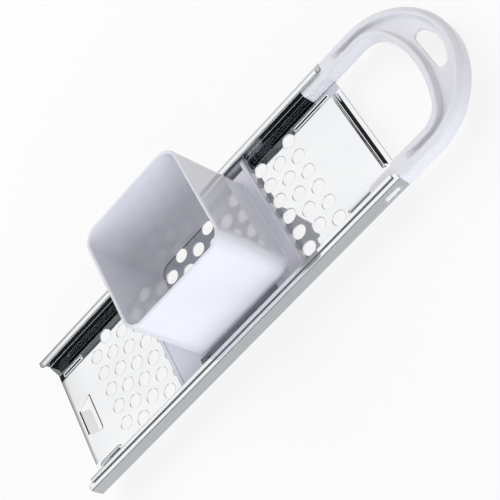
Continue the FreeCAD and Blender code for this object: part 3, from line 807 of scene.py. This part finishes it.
# --------------------------------------------------------------------- handle
def bow(half_width, bend_start, tip, radius):
    """A round-ended loop: bend start, corner centre's height and radius, then the
    end arc's radius and centre, and the angle at which the two arcs meet."""
    rise = half_width - radius
    reach = tip - bend_start
    big = (reach * reach + rise * rise - radius * radius) / ((reach - radius) * 2)
    centre = tip - big
    meet = math.degrees(math.atan2(rise, bend_start - centre))
    return bend_start, rise, radius, big, centre, meet


OUTER = bow(50.2, 269.5, 315.18, 41.0)
DISH_OUTER = bow(45.7, 269.5, 310.0, 36.5)
DISH_INNER = bow(41.1, 271.0, 293.8, 17.2)
GRIP = bow(37.9, 271.0, 289.9, 14.0)
DISH_FROM, DISH_FADE = 256.0, 10.0
# Where the loop's straight sides are cut, closer where the dishes fade in.
STRAIGHT = [248.0, 252.0] + [DISH_FROM + k for k in range(11)] + [268.0]
LOOP_TOP, WEB_TOP, WEB_UNDER = 10, 6.1, 4.1
CROWN, GRIP_CROWN = (3.5, 10), (1.3, 5)  # the rims' top rounds and their steps
DISH_HOLLOW, DISH_LIP = 1.8, 0.7
UNDER_HOLLOW, UNDER_LIP = 1.0, 0.3
LOOP_FOOT = 1.0          # the round along the rims' lower edges
HANG_EDGE = 0.4          # the round on the edges of the hanging hole

LEG_SIDES, LEG_HEIGHTS, LEG_EDGE = (38.4, 49.1), (0.9, 8.7), 0.5
LEG_START, LEG_ROUND, LEG_END = 233.4, 3, 249
NUB_ROOT, NUB_EDGE = 48.6, 0.35
NUB_GAP = 0.4            # between the nub and the edge of its slot


def loop_line(shape, out):
    """One line of the loop, from the near rail's end round to the far one's."""
    start, rise, radius, big, centre, meet = shape
    near = [(x, -rise - radius - out) for x in STRAIGHT]
    near += arc(start, -rise, radius + out, -90, -meet, 14)
    end = arc(centre, 0, big + out, -meet, meet, 40)[1:-1]
    far = [(x, -y) for x, y in reversed(near)]
    return near + end + far


def rim_tracks(dish, side, out, crown):
    """One rim of the H section as lines (shape, outset, height), from the web's top
    over the rim to the web's underside. The rim is the loop's outer one where out
    is 1, and the one round the grip where it is -1."""
    over = [
        (dish, out * (i - DISH_HOLLOW), WEB_TOP + d) for i, d in hollow(DISH_HOLLOW, 6)
    ]
    over += [(dish, out * i, LOOP_TOP - d) for i, d in wall_round(DISH_LIP, 4)]
    over += [(side, -out * i, LOOP_TOP - d) for i, d in quarter(*crown)]
    under = [(side, -out * i, d) for i, d in reversed(quarter(LOOP_FOOT, 4))]
    under += [(dish, out * i, d) for i, d in reversed(wall_round(UNDER_LIP, 2))]
    under += [
        (dish, out * (i - UNDER_HOLLOW), WEB_UNDER - d)
        for i, d in reversed(hollow(UNDER_HOLLOW, 4))
    ]
    return over + under


def sunk(x, z):
    """A point's height where the dishes fade out towards the legs."""
    part = min(1.0, max(0.0, (x - DISH_FROM) / DISH_FADE))
    part = part * part * (3 - 2 * part)
    if z > LOOP_TOP / 2:
        return LOOP_TOP - (LOOP_TOP - z) * part
    return z * part


def hang_hole_line(out):
    """The D of the hanging hole, with its corners rounded."""
    half, corner = 12, 3
    grip_corner, tip_corner = 300.2, 300.84
    bow_centre, bow_radius = 282.4, 25
    shoulder = math.degrees(math.atan2(half, tip_corner - bow_centre))
    near = arc(grip_corner, -half, corner + out, 180, 270, 6)
    near += arc(tip_corner, -half, corner + out, 270, 360 - shoulder, 5)
    end = arc(bow_centre, 0, bow_radius + out, -shoulder, shoulder, 14)[1:-1]
    far = [(x, -y) for x, y in reversed(near)]
    return near + end + far


def leg(bm, side):
    """The leg in a rail's channel, and its snap nub in the wall's slot."""
    def leg_line(inset):
        low, high = LEG_SIDES[0] + inset, LEG_SIDES[1] - inset
        radius = LEG_ROUND - inset
        line = arc(LEG_START, low + LEG_ROUND, radius, 180, 270, 6)
        line += [(LEG_END, low), (LEG_END, high)]
        line += arc(LEG_START, high - LEG_ROUND, radius, 90, 180, 6)
        return [(x, y * side) for x, y in line]

    def nub_line(inset):
        return rounded_box(SLOT, inset + NUB_GAP, 8)

    slab(bm, leg_line, *LEG_HEIGHTS, LEG_EDGE)
    slab(bm, nub_line, NUB_ROOT, RAIL_SIDE, NUB_EDGE, lambda x, z, y: (x, y * side, z))


def handle():
    """The loop with its dishes and hanging hole, and its two legs."""
    bm = bmesh.new()
    rims = []
    for tracks in (
        rim_tracks(DISH_OUTER, OUTER, 1, CROWN),
        rim_tracks(DISH_INNER, GRIP, -1, GRIP_CROWN),
    ):
        rows = []
        for shape, out, z in tracks:
            fades = shape in (DISH_OUTER, DISH_INNER)
            line = loop_line(shape, out)
            rows.append(row(bm, [(x, y, sunk(x, z) if fades else z) for x, y in line]))
        bridge(bm, rows, closed=False)
        rims.append(rows)
    outer, inner = rims
    # The web's two faces: strips where the dish fades out, one fill elsewhere.
    count = len(outer[0])
    full = STRAIGHT.index(DISH_FROM + DISH_FADE)
    for level, z in ((0, WEB_TOP), (-1, WEB_UNDER)):
        a, b = outer[level], inner[level]
        for span in (range(full), range(count - full - 1, count - 1)):
            for i in span:
                bm.faces.new([a[i], a[i + 1], b[i + 1], b[i]])
        border = [tuple(v.co.xy) for v in a[full : count - full]]
        border += [tuple(v.co.xy) for v in reversed(b[full : count - full])]
        flat_fill(bm, [border, hang_hole_line(HANG_EDGE)], lambda x, y: (x, y, z))
    levels = [(i, WEB_TOP - d) for i, d in quarter(HANG_EDGE, 4)]
    levels += [(i, WEB_UNDER + d) for i, d in reversed(quarter(HANG_EDGE, 4))]
    bridge(bm, [row(bm, [(x, y, z) for x, y in hang_hole_line(i)]) for i, z in levels])
    for end in (0, -1):
        ring = [line[end] for line in outer] + [line[end] for line in reversed(inner)]
        bm.faces.new(ring)
    for side in (1, -1):
        leg(bm, side)
    close_up(bm, 0.002)
    finish_piece(bm, "loop_handle", [HANDLE_ABS], "frame", "handle")


# ------------------------------------------------------------ hopper carriage
BASE_FROM, BASE_TO = 80.2, 179.7
BASE_LOW, BASE_TOP, RIM = 1.96, 7.3, 61.7
BASE_UNDER = 5.3         # the base's underside, within its skirt
BASE_EDGE, RIM_ROUND = 0.6, 1.0
WALL_THICK = 2           # of the hopper and of the skirt
FOOT = 1.0               # the hollow round where the hopper meets its base

# Boxes (x0, x1, y0, y1, corner radius) again, then the heights that they lie between.
BASE = (BASE_FROM, BASE_TO, -45.2, 45.2, 1.7)
SLITS = [
    (97.9, 159.2, 37.7, 43.2, 0.5),
    (97.9, 159.2, -43.2, -37.7, 0.5),
    (166.0, 177.0, 37.7, 43.2, 0.5),
]
FEET = [
    (BASE_FROM, BASE_TO, 43.4, 48.9, 1.5),
    (BASE_FROM, BASE_TO, -48.9, -43.4, 1.5),
]
END_BARS = [
    (BASE_FROM + 0.12, BASE_FROM + 2.5, -43, 43, 1.0),
    (BASE_TO - 2.5, BASE_TO - 0.12, -43, 43, 1.0),
]
SLIT_HEIGHTS, FEET_HEIGHTS, BAR_HEIGHTS = (2.7, 12.0), (1.1, 2.6), (6.6, 8.0)


def hopper_line(z, inset):
    """The hopper's outline at a height: it is a little drawn in at its foot."""
    up = (z - BASE_LOW) / (RIM - BASE_LOW)
    half = 37.4 + up
    box = (96.4 + 0.4 * up, 172.2 - 1.5 * up, -half, half, 9 + 1.4 * up)
    return rounded_box(box, inset, 12)


def base_line(inset):
    return rounded_box(BASE, inset, 5, 0.6)


def lower_edge():
    """The underside of a wall as (inset, height), with its two corners eased."""
    eased = [(0, 0.3), (0.1, 0.1), (0.3, 0)]
    across = eased + [(WALL_THICK - i, up) for i, up in reversed(eased)]
    return [(i, BASE_LOW + up) for i, up in across]


def hopper_and_base():
    """Hopper walls open from rim to plate, on a skirted base."""
    bm = bmesh.new()
    walls = [(-i, BASE_TOP + d) for i, d in quarter(FOOT, 5)]
    walls += [(i, RIM - d) for i, d in reversed(quarter(RIM_ROUND, 6))]
    walls += [(WALL_THICK - i, RIM - d) for i, d in quarter(RIM_ROUND, 6)[1:]]
    walls += lower_edge()[::-1] + [(0, BASE_UNDER)]
    bridge(bm, [row(bm, [(x, y, z) for x, y in hopper_line(z, i)]) for i, z in walls])
    skirt = [(i, BASE_TOP - d) for i, d in quarter(BASE_EDGE, 5)]
    skirt += lower_edge() + [(WALL_THICK, BASE_UNDER)]
    bridge(bm, [row(bm, [(x, y, z) for x, y in base_line(i)]) for i, z in skirt])
    for z, edge, flare in ((BASE_TOP, BASE_EDGE, -FOOT), (BASE_UNDER, WALL_THICK, 0)):
        flat_fill(bm, [base_line(edge), hopper_line(z, flare)], lambda x, y: (x, y, z))
    close_up(bm, 0.003)
    return bm


def cut_slits(bm):
    """Slits beside the long walls, and the one pocket at the far corner."""
    body = new_object("hopper blank", to_mesh(bm, "hopper blank"))
    tool = bmesh.new()
    for slit in SLITS:
        slab(tool, lambda i: rounded_box(slit, i, 3, 0.5), *SLIT_HEIGHTS, 0.1)
    bmesh.ops.recalc_face_normals(tool, faces=tool.faces)
    cutter = new_object("slit cutter", to_mesh(tool, "slit cutter"))
    cut = body.modifiers.new("slits", "BOOLEAN")
    cut.operation = "DIFFERENCE"
    cut.object = cutter
    cut.solver = "EXACT"
    mesh = plain_mesh(body)
    made = bmesh.new()
    made.from_mesh(mesh)
    for spent in (body, cutter):
        bpy.data.objects.remove(spent)
    bpy.data.meshes.remove(mesh)
    return made


def hopper_carriage():
    """Hopper and base, with feet in the channels and a bar along each end."""
    bm = cut_slits(hopper_and_base())
    for foot in FEET:
        slab(bm, lambda i: rounded_box(foot, i, 4), *FEET_HEIGHTS, 0.3)
    for bar in END_BARS:
        slab(bm, lambda i: rounded_box(bar, i, 4, 0.8), *BAR_HEIGHTS, 0.5)
    bmesh.ops.recalc_face_normals(bm, faces=bm.faces)
    materials = [HOPPER_ABS, SHADED_BASE_ABS]
    hopper_foot = hopper_line(BASE_TOP, -FOOT / 2)
    # Faces low down outside the hopper's foot (base, feet and end bars) take the darker
    # ABS: painted shade.
    for face in bm.faces:
        middle = face.calc_center_median()
        low = middle.z < BAR_HEIGHTS[1] + 0.1
        if low and not inside(middle.x, middle.y, hopper_foot):
            face.material_index = materials.index(SHADED_BASE_ABS)
    finish_piece(
        bm, "hopper_slider", materials, "hopper", "hopper_carriage"
    )


# --------------------------------------------------------------------- studio
PAPER_REACH, PAPER_DROP = 3, 0.0003
# How much of the paper's look is its own light, from near the tool to far off.
PAPER_SPAN, OWN_LIGHT = (0.2, 0.7), (0.8, 1.0)
# Painted shade on the paper beyond the hook end, seen only in the steel's reflections: its
# direction, where its edge starts and ends, and its brightness.
PAPER_SHADE_WAY, PAPER_SHADE_EDGE, PAPER_SHADE_WHITE = (-0.76, 0.64, 0), (0.122, 0.135), 0.05

WALL_LIGHT, WALL_WHITE, FLAG_WHITE = 0.33, 1.12, 0.02
# Flags as a direction and the angles from it at which the dark ends and is full.
FLAGS = [
    ((-0.31, -0.68, 0.60), 30, 25),
    ((0.42, 0.62, 0.66), 29, 23),
    ((-0.72, 0.60, 0.28), 27, 21),
]


def paper_sweep():
    """White paper under the tool: it keeps a soft shadow, and looks white to the camera and
    in the steel, apart from a patch of painted shade beyond the hook end that only the
    steel sees."""
    bm = bmesh.new()
    bmesh.ops.create_grid(bm, x_segments=1, y_segments=1, size=PAPER_REACH)
    bmesh.ops.translate(bm, vec=(0, 0, -PAPER_DROP), verts=bm.verts)
    floor = new_object("paper_sweep", to_mesh(bm, "paper_sweep"))
    mat, tree, shader, place = new_material(
        "white paper", {"Base Color": linear("FAFAFA"), "Roughness": 0.9}
    )
    path = add(tree, "ShaderNodeLightPath").outputs
    seen = add(
        tree,
        "ShaderNodeMath",
        {"operation": "MAXIMUM"},
        links={0: path["Is Camera Ray"], 1: path["Is Glossy Ray"]},
    )
    far = add(tree, "ShaderNodeVectorMath", {"operation": "LENGTH"}, links={0: place})
    own_light = add(
        tree,
        "ShaderNodeMapRange",
        values=zip(MAP_SOCKETS, (*PAPER_SPAN, *OWN_LIGHT)),
        links={"Value": far.outputs["Value"]},
    )
    share = add(
        tree,
        "ShaderNodeMath",
        {"operation": "MULTIPLY"},
        links={0: seen.outputs[0], 1: own_light.outputs[0]},
    )
    # Painted shade beyond the hook end, seen only in reflections.
    away = add(
        tree,
        "ShaderNodeVectorMath",
        {"operation": "DOT_PRODUCT"},
        {1: PAPER_SHADE_WAY},
        {0: place},
    )
    beyond = add(
        tree,
        "ShaderNodeMapRange",
        values=zip(MAP_SOCKETS, (*PAPER_SHADE_EDGE, 0, 1)),
        links={"Value": away.outputs["Value"]},
    )
    shade = add(
        tree,
        "ShaderNodeMath",
        {"operation": "MULTIPLY"},
        links={0: path["Is Glossy Ray"], 1: beyond.outputs[0]},
    )
    white = add(
        tree,
        "ShaderNodeMapRange",
        values=zip(MAP_SOCKETS, (0, 1, 1, PAPER_SHADE_WHITE)),
        links={"Value": shade.outputs[0]},
    )
    glow = add(
        tree,
        "ShaderNodeEmission",
        values={"Color": (1, 1, 1, 1)},
        links={"Strength": white.outputs[0]},
    )
    mix = add(
        tree,
        "ShaderNodeMixShader",
        links={0: share.outputs[0], 1: shader.outputs[0], 2: glow.outputs[0]},
    )
    out = next(n for n in tree.nodes if n.type == "OUTPUT_MATERIAL")
    tree.links.new(mix.outputs[0], out.inputs["Surface"])
    floor.data.materials.append(mat)


def studio_world():
    """Dim even walls for the plastic, which the camera sees as white. What shows in
    gloss is white too, apart from the three dark flags."""
    world = bpy.data.worlds.new("studio")
    world.use_nodes = True
    tree = world.node_tree
    tree.nodes.clear()
    way = add(tree, "ShaderNodeTexCoord").outputs["Generated"]
    white = None
    for middle, edge, full in FLAGS:
        facing = add(
            tree,
            "ShaderNodeVectorMath",
            {"operation": "DOT_PRODUCT"},
            {1: Vector(middle).normalized()},
            {0: way},
        )
        turns = [math.cos(math.radians(angle)) for angle in (edge, full)]
        flag = add(
            tree,
            "ShaderNodeMapRange",
            values=zip(MAP_SOCKETS, (*turns, WALL_WHITE, FLAG_WHITE)),
            links={"Value": facing.outputs["Value"]},
        )
        if white is not None:
            flag = add(
                tree,
                "ShaderNodeMath",
                {"operation": "MINIMUM"},
                links={0: white.outputs[0], 1: flag.outputs[0]},
            )
        white = flag
    path = add(tree, "ShaderNodeLightPath").outputs
    strength = add(
        tree,
        "ShaderNodeMapRange",
        values=zip(MAP_SOCKETS, (0, 1, WALL_LIGHT, 1.0)),
        links={"Value": path["Is Camera Ray"]},
    )
    walls, mirrored = (
        add(
            tree,
            "ShaderNodeBackground",
            values={"Color": (1, 1, 1, 1)},
            links={"Strength": source.outputs[0]},
        )
        for source in (strength, white)
    )
    mix = add(
        tree,
        "ShaderNodeMixShader",
        links={0: path["Is Glossy Ray"], 1: walls.outputs[0], 2: mirrored.outputs[0]},
    )
    add(tree, "ShaderNodeOutputWorld", links={"Surface": mix.outputs[0]})
    bpy.context.scene.world = world


def reflector_card():
    """A white card low in front that only the near rail mirrors."""
    x0, x1, y, z0, z1 = -0.45, 0.12, -0.25, 0.18, 0.285
    bm = bmesh.new()
    bm.faces.new(row(bm, [(x0, y, z0), (x1, y, z0), (x1, y, z1), (x0, y, z1)]))
    card = new_object("reflector_card", to_mesh(bm, "reflector_card"))
    mat = bpy.data.materials.new("white card")
    mat.use_nodes = True
    mat.node_tree.nodes.clear()
    glow = add(mat.node_tree, "ShaderNodeEmission", values={"Strength": 1.0})
    add(mat.node_tree, "ShaderNodeOutputMaterial", links={"Surface": glow.outputs[0]})
    card.data.materials.append(mat)
    card.visible_camera = False
    card.visible_diffuse = False
    card.visible_shadow = False


def softbox(name, place, aim, size, power, tint):
    """A soft lamp that lights the tool and doesn't show in its gloss."""
    light = bpy.data.lights.new(name, "AREA")
    light.shape = "RECTANGLE"
    light.size, light.size_y = size
    light.energy, light.color = power, tint
    lamp = new_object(name, light)
    lamp.visible_glossy = False
    lamp.location = place
    lamp.rotation_euler = (Vector(aim) - Vector(place)).to_track_quat("-Z", "Y").to_euler()


def place_camera():
    """The camera, rolled so that the tool climbs to the right."""
    lens = bpy.data.cameras.new("camera")
    lens.sensor_width = 36
    lens.lens = 102.33
    camera = new_object("camera", lens)
    right = Vector((0.65883261, -0.38831039, -0.64432495))
    up = Vector((0.68620717, 0.66121847, 0.30316638))
    back = Vector((0.3083169, -0.6418763, 0.70209366))
    turn = Matrix((right, up, back)).transposed().to_4x4()
    camera.matrix_world = Matrix.Translation((0.23562, -0.50197, 0.55633)) @ turn
    bpy.context.scene.camera = camera
    bpy.context.scene.view_settings.view_transform = "Standard"


folded_sheet()
handle()
hopper_carriage()
paper_sweep()
studio_world()
reflector_card()
softbox("top_softbox", (-0.25, 0.8, 1.0), (0, 0, 0), (1.6, 1.6), 14, (1, 1, 1))
softbox("front_softbox", (0, -1.15, 0.34), (0, 0, 0.03), (1.5, 0.5), 9.5, (0.89, 0.92, 1))
place_camera()
